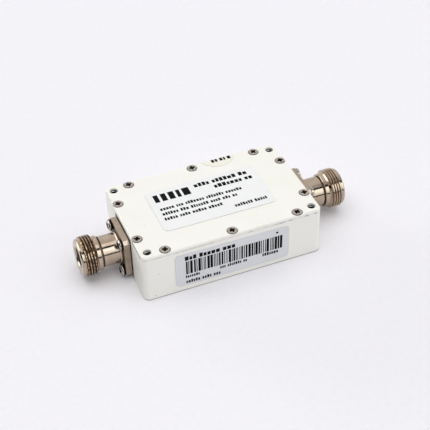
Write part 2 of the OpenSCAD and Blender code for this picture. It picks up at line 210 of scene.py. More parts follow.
def stretches(tree, coordinate, spans, reach):
    """A mask over spans of (low, high, strength), whose places are in millimetres."""
    share = add(tree, "MapRange", [coordinate, -reach * MM, reach * MM])
    stops = [(0.0, (0.0,))]
    for low, high, strength in spans:
        stops += [((low + reach) / (2 * reach), (strength,)), ((high + reach) / (2 * reach), (0.0,))]
    mask = add(tree, "ValToRGB", [share], stops)
    mask.node.color_ramp.interpolation = "CONSTANT"
    return mask


def chipped(tree, place, axes):
    """A mask over the chips along the seam and the rim, and over the specks."""
    front = join(tree, "MULTIPLY", stretches(tree, axes["X"], FRONT_CHIPS, body_l / 2),
                 near(tree, axes["Z"], seam_z, *CHIP_BAND), near(tree, axes["Y"], -body_w / 2, *ON_FRONT))
    left = join(tree, "MULTIPLY", stretches(tree, axes["Y"], LEFT_CHIPS, body_w / 2),
                near(tree, axes["Z"], top_z - RIM_DROP, *CHIP_BAND),
                near(tree, axes["X"], -body_l / 2, *ON_LEFT))
    flakes = add(tree, "TexNoise", {"Vector": place, "Scale": per_mm(CHIP), "Detail": 4.0,
                                    "Roughness": 0.6})
    broken = add(tree, "MapRange", [flakes, *CHIP_EDGE])
    mask = join(tree, "MULTIPLY", join(tree, "MAXIMUM", front, left), broken)
    for x, y, z, radius in SPECKS:
        away = add(tree, "VectorMath", [place, (x * MM, y * MM, z * MM)], out="Value", operation="DISTANCE")
        speck = add(tree, "MapRange", [away, radius * SPECK_CORE * MM, radius * MM, SPECK_SHARE, 0.0])
        mask = join(tree, "MAXIMUM", mask, speck)
    return mask


# %% Dirt and painted shade on the enamel
SMEAR = 1.6
RAGGED = (0.3, 0.7, -0.15 * MM, 0.2 * MM)
FLANGE_SHADE = (0.7, 0.95)
ON_END = (0.05, 0.05)
BY_WALL = (0.6, 0.3)
FOOT_BAND = (0.26, 0.08)
FOOT_SHARE = 0.85
DUST_BAND = (0.05, 0.06)
DUST_RANGE = (0.3, 0.62, 0.2, 0.75)
GRIME_RISE = 0.2
GRIME_BAND = (0.36, 0.12)
GRIME_REACH = (0.2, 0.1)
GRIME_RANGE = (0.3, 0.5, 0.55, 1.0)
LEFT_GRIME = [(-21.2, -11.0, 1.0)]


def seam_dirt_and_shade(tree, place, axes):
    """Two masks: dust and grime in the seam, and painted shade round the flanges and along the foot."""
    smear = add(tree, "TexNoise", {"Vector": place, "Scale": per_mm(SMEAR), "Detail": 3.0})
    ragged = add(tree, "MapRange", [smear, *RAGGED])
    ends = add(tree, "Math", [axes["X"]], operation="ABSOLUTE")
    sides = add(tree, "Math", [axes["Y"]], operation="ABSOLUTE")
    height = add(tree, "Math", [axes["Z"], -jack_z * MM], operation="ADD")
    height = add(tree, "Math", [height], operation="ABSOLUTE")
    square = join(tree, "ADD", join(tree, "MAXIMUM", sides, height), ragged)
    # Painted shade: a dark band on the end walls round each flange, where the flange meets the wall.
    start, end = ((flange_w / 2 + reach) * MM for reach in FLANGE_SHADE)
    round_flange = join(tree, "MULTIPLY", near(tree, ends, body_l / 2, *ON_END),
                        add(tree, "MapRange", [square, start, end, 1.0, 0.0]))
    # Painted shade: a dark line along the foot of every wall, where it meets the floor.
    by_walls = join(tree, "MAXIMUM", near(tree, ends, body_l / 2, *BY_WALL),
                    near(tree, sides, body_w / 2, *BY_WALL))
    foot = join(tree, "MULTIPLY", near(tree, axes["Z"], 0.0, *FOOT_BAND), by_walls, FOOT_SHARE)
    dust = join(tree, "MULTIPLY", near(tree, axes["Z"], seam_z, *DUST_BAND),
                add(tree, "MapRange", [smear, *DUST_RANGE]))
    grime_and_shade = join(tree, "MULTIPLY", stretches(tree, axes["Y"], LEFT_GRIME, body_w / 2),
                 near(tree, join(tree, "ADD", axes["Z"], ragged), seam_z + GRIME_RISE, *GRIME_BAND),
                 near(tree, axes["X"], -body_l / 2, *GRIME_REACH),
                 add(tree, "MapRange", [smear, *GRIME_RANGE]))
    return join(tree, "MAXIMUM", dust, grime_and_shade), join(tree, "MAXIMUM", round_flange, foot)


# %% Sprayed white enamel
PEEL = 0.7
PEEL_DEPTH = 0.012
GRIT = 0.12
GRIT_DEPTH = 0.003
MOTTLE = 14
MATT_RANGE = (0.36, 0.5)
CHIP_DEPTH = 0.03


def sprayed_enamel(name):
    material, tree, shader, place = start_finish(name, "#F7F6EF", 0.42)
    axes = add(tree, "SeparateXYZ", [place], out=None)
    mottle, coat = wander(tree, place, MOTTLE, 3.0, "#F5F4EC", "#F9F7F2")
    in_seam, flange_and_foot_shade = seam_dirt_and_shade(tree, place, axes)
    # The chips and the painted shade share one dark colour, and both sink the surface a little.
    chips_and_shade = join(tree, "MAXIMUM", chipped(tree, place, axes), flange_and_foot_shade)
    dusty = add(tree, "Mix", {0: in_seam, 6: coat, 7: linear("#8C887C")}, out=2, data_type="RGBA")
    colour = add(tree, "Mix", {0: chips_and_shade, 6: dusty, 7: linear("#463E35")}, out=2, data_type="RGBA")
    rough = add(tree, "MapRange", [mottle, 0.0, 1.0, *MATT_RANGE])
    peel = add(tree, "TexNoise", {"Vector": place, "Scale": per_mm(PEEL), "Detail": 2.0})
    grit = add(tree, "TexNoise", {"Vector": place, "Scale": per_mm(GRIT), "Detail": 1.0})
    waves = add(tree, "Bump", {"Height": peel, "Distance": PEEL_DEPTH * MM, "Strength": 0.5})
    grain = add(tree, "Bump", {"Height": grit, "Distance": GRIT_DEPTH * MM, "Strength": 0.5,
                               "Normal": waves})
    pits = add(tree, "Bump", {"Height": chips_and_shade, "Distance": CHIP_DEPTH * MM, "Strength": 0.6,
                              "Normal": grain}, invert=True)
    fill(tree, shader, {"Base Color": colour, "Roughness": rough, "Normal": pits})
    return material


enamel = sprayed_enamel("sprayed_white_enamel")
print("finish:", enamel.name)

# %% [markdown]
# The jacks are brass, turned and then nickel plated. Old nickel is warm and a little brown. Turning leaves
# fine rings round the axis, so the bump follows only the place along the axis. The roots of the thread are
# darkened brown, partly by dirt and partly by painted shade. The groove behind the collar, the inside of
# the socket and the line where the flange meets the wall are painted near black as shade, and the flange's
# rim is a little darker, so the colour also follows the distance from the axis and from the wall. The input
# has been used more. On it painted shade also lies on the face of the flange and beside the groove, and
# dirt covers the thread's crests where plugs haven't rubbed them clean.

# %% Dirt and painted shade on the jacks
BLOTCH = 0.75
THREAD_R = 15.875 / 2
THREAD_SPAN = (12.9, 17.2)
BARREL_R = 6.1
GROOVE = (10.0, 10.5)
ROOT_DARK_DEPTH = 0.4
INNER_R = 5.4
FLANGE_T = 2.75
CLEAN_R = THREAD_R - 0.38
RUBBED = (0.4, 0.58, (THREAD_R + 0.35) * MM, (THREAD_R - 0.05) * MM)
THREAD_FADE = 0.1
THREAD_SHARE = 0.95
BLACK_SHARE = 0.65
GROOVE_FADE = 0.03
BESIDE_BACK = 0.06
BESIDE_BAND = (0.14, 0.04)
BESIDE_SHARE = 0.9
WALL_BAND = (0.24, 0.06)
SIDE_FADE = 0.05
SIDE_SHARE = 0.13
FACE_RISE = 0.1
FACE_BAND = (0.2, 0.1)
BORE_BAND = (4.1, 0.1)
BORE_SHARE = 0.6


def jack_dirt_and_shade(tree, place, axes):
    """Two masks: dirt and painted shade in the jack's thread, and mostly painted shade on the rest."""
    height = add(tree, "Math", [axes["Z"], -jack_z * MM], operation="ADD")
    across = add(tree, "CombineXYZ", {"Y": axes["Y"], "Z": height})
    radius = add(tree, "VectorMath", [across], out="Value", operation="LENGTH")
    ends = add(tree, "Math", [axes["X"]], operation="ABSOLUTE")
    away = add(tree, "Math", [ends, -body_l / 2 * MM], operation="ADD")
    used = add(tree, "Math", [axes["X"], 0.0], operation="LESS_THAN")
    outside = add(tree, "Math", [radius, INNER_R * MM], operation="GREATER_THAN")
    blotch = add(tree, "TexNoise", {"Vector": place, "Scale": per_mm(BLOTCH), "Detail": 2.0})
    rubbed = add(tree, "MapRange", [blotch, *RUBBED])
    # The thread's roots darken brown, partly dirt and partly painted shade; on the input dirt also covers
    # crests.
    clean = add(tree, "Mix", {0: used, 2: CLEAN_R * MM, 3: rubbed}, data_type="FLOAT")
    fully_dark_r = add(tree, "Math", [clean, -ROOT_DARK_DEPTH * MM], operation="ADD")
    deep = add(tree, "MapRange", [radius, fully_dark_r, clean, THREAD_SHARE, 0.0])
    low, high = THREAD_SPAN
    in_thread = join(tree, "MULTIPLY", deep, outside,
                     near(tree, away, (low + high) / 2, (high - low) / 2, THREAD_FADE))
    # Painted shade: the groove behind the collar, and beside it on the input, painted near black.
    low, high = GROOVE
    under = add(tree, "Math", [radius, (BARREL_R - SIDE_FADE) * MM], operation="LESS_THAN")
    in_groove = join(tree, "MULTIPLY", under, outside, BLACK_SHARE,
                     near(tree, away, (low + high) / 2, (high - low) / 2, GROOVE_FADE))
    beside_groove = join(tree, "MULTIPLY", near(tree, away, low - BESIDE_BACK, *BESIDE_BAND), used,
                         BESIDE_SHARE)
    # Painted shade: the line where the flange meets the wall.
    at_wall = near(tree, away, 0.0, *WALL_BAND)
    on_side = join(tree, "MULTIPLY", near(tree, away, 0.0, FLANGE_T - SIDE_FADE, SIDE_FADE), SIDE_SHARE)
    # Painted shade: the flange's face on the input, where the screw heads and the boss shade it.
    on_face = join(tree, "MULTIPLY", near(tree, away, FLANGE_T + FACE_RISE, *FACE_BAND), outside, used,
                   BLACK_SHARE)
    # Painted shade: the inside of the socket.
    in_bore = join(tree, "MULTIPLY", near(tree, radius, 0.0, *BORE_BAND), BORE_SHARE)
    return in_thread, join(tree, "MAXIMUM", in_groove, beside_groove, at_wall, on_side, on_face, in_bore)


# %% Turned nickel plate
RING = 0.16
RING_DEPTH = 0.003
SMUDGE = 3.0
POLISH_RANGE = (0.3, 0.7, 0.06, 0.17)
DULL = 0.5


def turned_nickel(name):
    material, tree, shader, place = start_finish(name, "#B4A392", 0.12, 1.0)
    axes = add(tree, "SeparateXYZ", [place], out=None)
    smudge, tone = wander(tree, place, SMUDGE, 4.0, "#AC9A87", "#BDAC9C")
    in_thread, black = jack_dirt_and_shade(tree, place, axes)
    # Brown in the thread is dirt and painted shade; black on the rest is painted shade.
    brown = add(tree, "Mix", {0: in_thread, 6: tone, 7: linear("#5E3F18")}, out=2, data_type="RGBA")
    colour = add(tree, "Mix", {0: black, 6: brown, 7: linear("#1E150D")}, out=2, data_type="RGBA")
    polish = add(tree, "MapRange", [smudge, *POLISH_RANGE])
    dull = add(tree, "Mix", {0: join(tree, "MAXIMUM", in_thread, black), 2: polish, 3: DULL},
               data_type="FLOAT")
    rings = add(tree, "TexNoise", {"W": axes["X"], "Scale": per_mm(RING), "Detail": 2.0},
                noise_dimensions="1D")
    bump = add(tree, "Bump", {"Height": rings, "Distance": RING_DEPTH * MM, "Strength": 0.4})
    fill(tree, shader, {"Base Color": colour, "Roughness": dull, "Normal": bump})
    return material


nickel = turned_nickel("turned_nickel_plate")
print("finish:", nickel.name)

# %% [markdown]
# The other metals are those of the screws, contacts, wire, solder and bare box. The cover screws are
# tumbled while they are plated with zinc, so they are half dull, and the flange screws are polished and
# chromed. An end mill leaves the aluminium dull, and a countersink leaves it bright. What differs is the
# two tones, the roughness and the size of the marks, so one function makes all of them from a short table.

# %% Small metals
METALS = {
    "zinc_plated_screw_steel": ("#A8A196", "#BCB4AA", 0.24, 0.6),
    "bright_chromed_screw_steel": ("#A29F9B", "#C2BFBB", 0.05, 0.6),
    "milled_aluminium": ("#A9ABAD", "#C3C5C7", 0.35, 0.3),
    "freshly_cut_aluminium": ("#D5D6D8", "#E2E3E5", 0.12, 0.3),
    "gold_plated_bronze": ("#C79A45", "#DDB765", 0.2, 0.3),
    "enamelled_copper_wire": ("#9C5A2C", "#C27A45", 0.3, 0.4),
    "soft_solder": ("#A8A9AC", "#C6C7CA", 0.35, 0.3),
}
METAL_MARKS = {"depth": 0.002, "metallic": 1.0, "detail": 4.0, "low": 0.35, "strength": 0.4}


def grained(name, dark, light, roughness, grain, depth, shine=0.5, metallic=0.0, detail=3.0, low=0.3,
            strength=0.5):
    """A finish whose tone and surface wander over marks of a size and depth in millimetres."""
    material, tree, shader, place = start_finish(name, light, roughness, metallic)
    marks, tone = wander(tree, place, grain, detail, dark, light, low, 1 - low)
    bump = add(tree, "Bump", {"Height": marks, "Distance": depth * MM, "Strength": strength})
    fill(tree, shader, {"Base Color": tone, "Normal": bump, "Specular IOR Level": shine})
    return material


metals = {name: grained(name, *recipe, **METAL_MARKS) for name, recipe in METALS.items()}
print("finishes:", ", ".join(metals))

# %% [markdown]
# The labels are polyester film, the insulators are turned PTFE, the board is glass epoxy under green
# lacquer, and the chips are fired ceramic. None of them is metal, but the same function makes them, with a
# faint change of tone and a grain at its real size. The ink is nearly black, and more matt than the film
# under it. A near-black finish, dark, rough and uneven, paints the shade in bores, recesses, gaps and on
# the labels' edges. The seal's cut edge is painted darker than its face, as shade. A row of the table
# holds two tones, the roughness, the size and depth of the grain in millimetres, and the shine.

# %% Films, plastics and ceramic
PLAIN = {
    "white_polyester_film": ("#F0F1F1", "#F4F4F4", 0.38, 9.0, 0.0015, 0.5),
    "grey_polyester_film": ("#DCDEE1", "#E1E3E6", 0.38, 9.0, 0.0015, 0.5),
    "paper_seal": ("#F1EDE1", "#F6F3E9", 0.55, 0.5, 0.004, 0.4),
    # A darker paper for the seal's rim: painted shade.
    "shaded_paper_edge": ("#A39C90", "#C9C2B6", 0.7, 0.5, 0.004, 0.2),
    "black_print_ink": ("#030304", "#08080A", 0.6, 0.3, 0.001, 0.1),
    # Near black, for painted shade.
    "painted_shade_finish": ("#0B0705", "#38241A", 0.7, 0.3, 0.01, 0.1),
    "turned_ptfe": ("#E9E8E2", "#F4F3EE", 0.4, 0.3, 0.002, 0.5),
    "glass_epoxy_board": ("#2B6242", "#35744F", 0.35, 0.8, 0.004, 0.5),
    "fired_ceramic": ("#A98E68", "#BFA47C", 0.45, 0.2, 0.003, 0.5),
}
plains = {name: grained(name, *recipe) for name, recipe in PLAIN.items()}
print("finishes:", ", ".join(plains))

# %% [markdown]
# Meshes are made from closed loops of points. A lathe stitches circles together, a loft stitches outlines
# together and closes both ends, and both share one function that joins a loop to the next. A loop of one
# point closes a pointed end. Points that lie within the merging distance, in millimetres, become one.

# %% Loops and lathes
TURN_STEPS = 96
HOLE_STEPS = 48
ROUND_STEPS = 6
SOFT_STEPS = 3
MERGE = 1e-4


def stitch(bm, loops):
    """Joins each loop of vertices to the next one with faces."""
    for low, high in zip(loops, loops[1:]):
        for i in range(max(len(low), len(high))):
            j = i + 1
            corners = [low[i % len(low)], low[j % len(low)], high[j % len(high)], high[i % len(high)]]
            corners = list(dict.fromkeys(corners))
            if len(corners) > 2:
                bm.faces.new(corners)


def loft(bm, loops):
    """Stitches loops together, and closes the first and the last one with a face."""
    stitch(bm, loops)
    bm.faces.new(list(reversed(loops[0])))
    bm.faces.new(loops[-1])


def circle(bm, radius, height, steps=TURN_STEPS, x=0.0, y=0.0):
    """A level ring of vertices round an upright axis."""
    turn = [2 * math.pi * i / steps for i in range(steps)]
    return [bm.verts.new((x + radius * math.cos(a), y + radius * math.sin(a), height)) for a in turn]


def lathe(bm, profile, steps=TURN_STEPS):
    """Turns a profile of (radius, height) points round the upright axis."""
    loops = [circle(bm, radius, height, steps if radius > MERGE else 1) for radius, height in profile]
    stitch(bm, loops)
    return loops


# %% Rounded outlines and blocks
def soften(points, size):
    """Rounds the inner corners of an open line of points, each by no more than half of its shorter side."""
    soft = [points[0]]
    for before, corner, after in zip(points, points[1:], points[2:]):
        a, p, b = Vector(before), Vector(corner), Vector(after)
        reach = min(size, (a - p).length / 2, (b - p).length / 2)
        start = p + (a - p).normalized() * reach
        end = p + (b - p).normalized() * reach
        for i in range(SOFT_STEPS + 1):
            t = i / SOFT_STEPS
            soft.append(tuple(start.lerp(p, t).lerp(p.lerp(end, t), t)))
    soft.append(points[-1])
    return soft


def outline(length, width, radius):
    """Points round a rectangle with round corners."""
    points = []
    for turn, (sx, sy) in enumerate(((1, 1), (-1, 1), (-1, -1), (1, -1))):
        for i in range(ROUND_STEPS + 1):
            a = math.pi / 2 * (turn + i / ROUND_STEPS)
            x = sx * (length / 2 - radius) + radius * math.cos(a)
            y = sy * (width / 2 - radius) + radius * math.sin(a)
            points.append((x, y))
    return points


def block(bm, length, width, radius, levels):
    """A block with round corners. levels are (inset, height) pairs from its bottom face to its top face."""
    loops = []
    for inset, height in levels:
        edge = outline(length - 2 * inset, width - 2 * inset, max(radius - inset, 0.01))
        loops.append([bm.verts.new((x, y, height)) for x, y in edge])
    loft(bm, loops)


def rounded_levels(low, high, soft_low, soft_high, steps=4):
    """Levels for a block whose lower and upper rims are rounded."""
    arc = [math.pi / 2 * i / steps for i in range(steps + 1)]
    levels = [(soft_low * (1 - math.sin(a)), low + soft_low * (1 - math.cos(a))) for a in arc]
    levels += [(soft_high * (1 - math.cos(a)), high - soft_high * (1 - math.sin(a))) for a in arc]
    return levels


# %% [markdown]
# A piece is built in millimetres and scaled to metres when its mesh is written. Holes and recesses are cut
# with Blender's exact boolean, because that gives clean rims. Then the faces are shaded smooth, corners
# over a chosen angle are kept sharp, and face weighted normals keep the large flat faces flat beside their
# rounded edges.

# %% Piece helpers
def write(name, bm, at=Matrix.Identity(4)):
    """Turns a bmesh in millimetres to an object in metres."""
    bmesh.ops.remove_doubles(bm, verts=bm.verts, dist=MERGE)
    bmesh.ops.recalc_face_normals(bm, faces=bm.faces)
    mesh = bpy.data.meshes.new(name)
    bm.to_mesh(mesh)
    bm.free()
    mesh.transform(Matrix.Scale(MM, 4) @ at)
    piece = bpy.data.objects.new(name, mesh)
    bpy.context.scene.collection.objects.link(piece)
    return piece


def settle(piece):
    """Applies a piece's modifiers to its mesh."""
    graph = bpy.context.evaluated_depsgraph_get()
    mesh = bpy.data.meshes.new_from_object(piece.evaluated_get(graph))
    piece.modifiers.clear()
    piece.data = mesh


def cut(piece, tool):
    """Cuts a tool out of a piece, and throws the tool away."""
    change = piece.modifiers.new("cut", "BOOLEAN")
    change.object = tool
    change.operation = "DIFFERENCE"
    change.solver = "EXACT"
    settle(piece)
    bpy.data.objects.remove(tool)


def dress(piece, materials, node, sharp=32):
    """Shades a piece, gives it its finishes, seats it on the body and lets it stand for its node."""
    kinds = [face.material_index for face in piece.data.polygons]
    piece.data.materials.clear()
    for material in materials:
        piece.data.materials.append(material)
    piece.data.polygons.foreach_set("material_index", kinds)
    piece.data.shade_smooth()
    piece.data.set_sharp_from_angle(angle=math.radians(sharp))
    weights = piece.modifiers.new("weighted normals", "WEIGHTED_NORMAL")
    weights.keep_sharp = True
    settle(piece)
    piece.data.name = piece.name
    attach(piece, "root")
    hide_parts(node)
    print(f"{piece.name}: {len(piece.data.polygons)} faces")


# %% Separate solids in a node
def islands(node):
    """The box centre, in millimetres, of each separate solid in a node."""
    bm = bmesh.new()
    bm.from_mesh(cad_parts[node].data)
    bmesh.ops.remove_doubles(bm, verts=bm.verts, dist=MERGE * MM)
    left = set(bm.verts)
    middles = []
    while left:
        group = [left.pop()]
        for vert in group:
            found = {link.other_vert(vert) for link in vert.link_edges} & left
            left -= found
            group += found
        low = [min(v.co[i] for v in group) / MM for i in range(3)]
        high = [max(v.co[i] for v in group) / MM for i in range(3)]
        middles.append(tuple((a + b) / 2 for a, b in zip(low, high)))
    bm.free()
    return sorted(middles)


# %% [markdown]
# The housing is one block, milled out from the top in two levels, with four holes right through its
# corners. Its lower rim and the rim at the seam are softened, as paint softens a milled edge. The inside
# and the tapped holes were masked when it was sprayed, so they are bare metal. The corner holes have a
# freshly cut lip at the seam, which glints through the holes in the cover, and below it they get a
# near-black finish that paints the shade deep in the bore. Every cutter reaches a little past the face
# that it starts from.

# %% Sizes of the housing
CORNER_R = 2.0
WALL_T = 3.6
FLOOR_T = 3.2
CUTTER_R = 2.5
SHELF_Z = 8.3
MOUNT_D = 3.2
MOUNT_X = 33.5
MOUNT_Y = 19.8
MOUNT_WALL = 1.6
SCREW_D = 2.0
TAP_DEPTH = 5.6
SHELF_W = 5.0
SHELF_END_W = 8.5
FLANGE_PITCH = 12.7
FLANGE_SCREW_D = 2.5
TAIL_BORE_D = 4.3
RIM_LOW = 0.14
RIM_SEAM = 0.16
PAINTED_SIDE = 0.6
PAINTED_FOOT = 0.3
PAINTED_SEAM = 0.02
BURR = 0.45
cover_screw_places = [(x, y) for x, y, z in islands("cover_screws")]
flange_screw_places = [(u * FLANGE_PITCH / 2, v * FLANGE_PITCH / 2) for u in (-1, 1) for v in (-1, 1)]
mounts = [(x, y) for x in (-MOUNT_X, MOUNT_X) for y in (-MOUNT_Y, MOUNT_Y)]
print("cover screws at", [(round(x, 1), round(y, 1)) for x, y in cover_screw_places])


# %% Round cutters
LIP_ANGLES = (0.4, 0.8, 1.2, math.pi / 2)
PAST = 1


def end_of(side):
    """A jack's own axes, the third pointing out of its wall. side is -1 at the input, 1 at the output."""
    axes = Matrix(((0, side, 0), (0, 0, 1), (side, 0, 0))).transposed().to_4x4()
    return Matrix.Translation((side * body_l / 2, 0, jack_z)) @ axes


def turned(bm, profile, at):
    """Turns a profile, and moves it to its place."""
    start = len(bm.verts)
    lathe(bm, profile, HOLE_STEPS)
    bm.verts.ensure_lookup_table()
    bmesh.ops.transform(bm, matrix=at, verts=bm.verts[start:])


def rod(bm, diameter, low, high, at, lip=0.0, ring=0.0):
    """A round cutter from low to high, with a flared lip at its upper end and a ring below that."""
    r = diameter / 2
    profile = [(0, low), (r, low), (r, high - lip - ring), (r, high - lip)][:4 if ring else 3]
    profile += [(r + lip * (1 - math.cos(a)), high - lip + lip * math.sin(a)) for a in LIP_ANGLES]
    turned(bm, profile + [(r + lip, high + PAST), (0, high + PAST)], at)


# %% Housing
def make_housing():
    bm = bmesh.new()
    block(bm, body_l, body_w, CORNER_R, rounded_levels(0, seam_z, RIM_LOW, RIM_SEAM))
    piece = write("painted_housing", bm)
    neck_l = 2 * (MOUNT_X - MOUNT_D / 2 - MOUNT_WALL)
    neck_w = 2 * (MOUNT_Y - MOUNT_D / 2 - MOUNT_WALL)
    pocket_l = body_l - 2 * WALL_T
    for length, width, floor in ((pocket_l, neck_w, SHELF_Z), (neck_l, body_w - 2 * WALL_T, SHELF_Z),
                                 (pocket_l - 2 * SHELF_END_W, neck_w - 2 * SHELF_W, FLOOR_T)):
        tool = bmesh.new()
        block(tool, length, width, CUTTER_R, [(0, floor), (0, seam_z + PAST)])
        cut(piece, write("pocket", tool))
    holes = bmesh.new()
    for x, y in mounts:
        rod(holes, MOUNT_D, -PAST, seam_z, Matrix.Translation((x, y, 0)), BURR)
    for x, y in cover_screw_places:
        rod(holes, SCREW_D, seam_z - TAP_DEPTH, seam_z, Matrix.Translation((x, y, 0)))
    for side in (-1, 1):
        rod(holes, TAIL_BORE_D, -WALL_T - PAST, 0, end_of(side))
        for u, v in flange_screw_places:
            rod(holes, FLANGE_SCREW_D, -WALL_T - PAST, 0, end_of(side) @ Matrix.Translation((u, v, 0)))
    cut(piece, write("holes", holes))
    for face in piece.data.polygons:
        x, y, z = (abs(c) / MM for c in face.center)
        inside = x < body_l / 2 - PAINTED_SIDE and y < body_w / 2 - PAINTED_SIDE
        inside = inside and PAINTED_FOOT < z < seam_z - PAINTED_SEAM
        face.material_index = int(inside)
        # Below the lip, the corner bores get the near-black finish: painted shade.
        if inside and math.hypot(x - MOUNT_X, y - MOUNT_Y) < MOUNT_D / 2 + BURR:
            face.material_index = 2 if z > seam_z - BURR else 3
    return piece


# A near-black finish that paints shade in bores, recesses, gaps and on edges.
grime_and_shade = plains["painted_shade_finish"]
housing_finishes = [enamel, metals["milled_aluminium"], metals["freshly_cut_aluminium"], grime_and_shade]
dress(make_housing(), housing_finishes, "housing")

# %% [markdown]
# The cover is a flat plate. Its upper rim is rounder than the housing's, because the coat is thick there.
# The countersinks near the long sides run out through the rim, so a crescent of each screw head shows from
# the side. The spray reaches a short way into the corner holes. Below that they get a near-black finish,
# painted shade deep in the bore, and so do the countersinks, as shade in the gap round each head.

# %% Cover
RIM_TOP = 0.5
RIM_UNDER = 0.14
SINK_D = 4.3
SINK_LIP = 0.06
SINK_SHADE_DEPTH = 1.2
SHANK_HOLE_D = 2.3
MOUNT_LIP = 0.12
SPRAY_REACH = 0.85
TOUCH = 0.01


def all_near(piece, face, places, diameter):
    """Whether all corners of a face lie in a hole round the upright axis through one of the places."""
    corners = [piece.data.vertices[i].co / MM for i in face.vertices]
    reach = diameter / 2 + TOUCH
    return any(all(math.hypot(c.x - x, c.y - y) < reach for c in corners) for x, y in places)


def make_cover():
    bm = bmesh.new()
    block(bm, body_l, body_w, CORNER_R, rounded_levels(seam_z, top_z, RIM_UNDER, RIM_TOP))
    piece = write("painted_cover", bm)
    tools = bmesh.new()
    for x, y in mounts:
        rod(tools, MOUNT_D, seam_z - PAST, top_z, Matrix.Translation((x, y, 0)), MOUNT_LIP, SPRAY_REACH)
    sink_r, hole_r = SINK_D / 2, SHANK_HOLE_D / 2
    profile = [(0, seam_z - PAST), (hole_r, seam_z - PAST), (hole_r, top_z - sink_r + hole_r),
               (sink_r, top_z - SINK_LIP), (sink_r + SINK_LIP, top_z), (sink_r + SINK_LIP, top_z + PAST),
               (0, top_z + PAST)]
    for x, y in cover_screw_places:
        turned(tools, profile, Matrix.Translation((x, y, 0)))
    cut(piece, write("cover_holes", tools))
    # Deep in the corner holes and in the countersinks, faces get the near-black finish: painted shade.
    for face in piece.data.polygons:
        depth = top_z - face.center.z / MM
        if depth > SPRAY_REACH and all_near(piece, face, mounts, MOUNT_D):
            face.material_index = 1
        if SINK_LIP < depth < SINK_SHADE_DEPTH and all_near(piece, face, cover_screw_places, SINK_D):
            face.material_index = 1
    return piece


dress(make_cover(), [enamel, grime_and_shade], "cover")

# %% [markdown]
# A cross recess has four wings that taper in towards the bottom. The cutter is a plus sign, lofted from a
# wide one at the top to a small one at the bottom, so the recess has the sloping walls that catch light in
# a real screw. The faces that the cutter leaves get a near-black finish of their own, which paints the
# shade in the recess. Painted shade also lies round the foot of each head, and it reaches higher on the
# input's screws. A row of the recess's table holds its reach and half a wing's width as shares of the
# recess's size, its height above the head, and its share of the depth.

# %% A screw and its recess
RECESS = [(1.08, 0.38, 0.3, 0.0), (1.0, 0.35, 0.0, 0.0), (0.73, 0.27, 0.0, 0.6), (0.3, 0.16, 0.0, 1.0)]
RECESS_CORNER = 1.25
FLOOR_SLACK = 0.05
SKIN_SLACK = 0.03
FOOT_SHADE_FROM = 0.6


def plus(reach, half, height):
    """Points round a plus sign with slightly rounded inner corners."""
    inner = half * RECESS_CORNER
    points = []
    for turn in range(4):
        a = math.pi / 2 * turn
        for x, y in ((reach, -half), (reach, half), (inner, inner)):
            points.append((x * math.cos(a) - y * math.sin(a), x * math.sin(a) + y * math.cos(a), height))
    return points


def make_screw(name, profile, top, head_r, depth, reach, foot):
    """One screw, turned from its profile, with a cross recess and painted shade in it and round its foot."""
    bm = bmesh.new()
    lathe(bm, profile, HOLE_STEPS)
    screw = write(name, bm)
    size = head_r * reach
    tool = bmesh.new()
    loft(tool, [[tool.verts.new(p) for p in plus(size * wide, size * half, top + rise - depth * share)]
                for wide, half, rise, share in RECESS])
    cut(screw, write("recess", tool))
    for face in screw.data.polygons:
        x, y, z = (c / MM for c in face.center)
        away = math.hypot(x, y)
        surface = max(low for (outer, low), (inner, _) in zip(profile, profile[1:])
                      if outer >= away >= inner)
        in_recess = away < size and top - depth - FLOOR_SLACK < z < surface - SKIN_SLACK
        # Faces in the recess and round the foot get the near-black finish: painted shade.
        face.material_index = int(in_recess or (away > head_r * FOOT_SHADE_FROM and z < foot))
    return screw


# %% Heads of the screws
COVER_HEAD_D = 4.0
COVER_HEAD_RISE = 0.22
COVER_SCREW_L = 6.0
FLANGE_HEAD_D = 4.6
FLANGE_HEAD_H = 1.8
FLANGE_SCREW_L = 5.6
SHANK_GAP = 0.05


def countersunk_profile():
    r, shank = COVER_HEAD_D / 2, SCREW_D / 2 - SHANK_GAP
    rim = [(r - 0.02, -0.06), (r, 0.0), (r - 0.06, 0.1)]
    dome = [(r * 0.8, COVER_HEAD_RISE * 0.75), (r * 0.45, COVER_HEAD_RISE * 0.95), (0, COVER_HEAD_RISE)]
    return [(0, -COVER_SCREW_L), (shank, -COVER_SCREW_L), (shank, shank - r), *rim, *dome]


def pan_profile():
    r, shank = FLANGE_HEAD_D / 2, FLANGE_SCREW_D / 2 - SHANK_GAP
    head = [(r - 0.4, 0), (r, 0.4), (r, FLANGE_HEAD_H * 0.45)]
    head += [(r * math.cos(a) ** 0.8, FLANGE_HEAD_H * (0.45 + 0.55 * math.sin(a)))
             for a in (math.radians(d) for d in range(12, 84, 9))]
    return [(0, -FLANGE_SCREW_L), (shank, -FLANGE_SCREW_L), (shank, 0), *head, (0, FLANGE_HEAD_H)]


# %% Screws in their places
SMALL_RECESS = (1.0, 0.6)
PAN_RECESS = (1.15, 0.68)
SMALL_FOOT = 0.07
PAN_FEET = {-1: 0.85, 1: 0.1}
ENDS = {-1: "input", 1: "output"}


def place_screws(name, master, places):
    """Copies a screw to each place, each turned by its own amount, and throws the first one away."""
    chance = random.Random(name)
    bm = bmesh.new()
    for place in places:
        start = len(bm.verts)
        bm.from_mesh(master.data)
        bm.verts.ensure_lookup_table()
        turn = Matrix.Rotation(chance.uniform(0, math.pi / 2), 4, "Z")
        bmesh.ops.transform(bm, matrix=Matrix.Scale(1 / MM, 4), verts=bm.verts[start:])
        bmesh.ops.transform(bm, matrix=place @ turn, verts=bm.verts[start:])
    bpy.data.objects.remove(master)
    return write(name, bm)


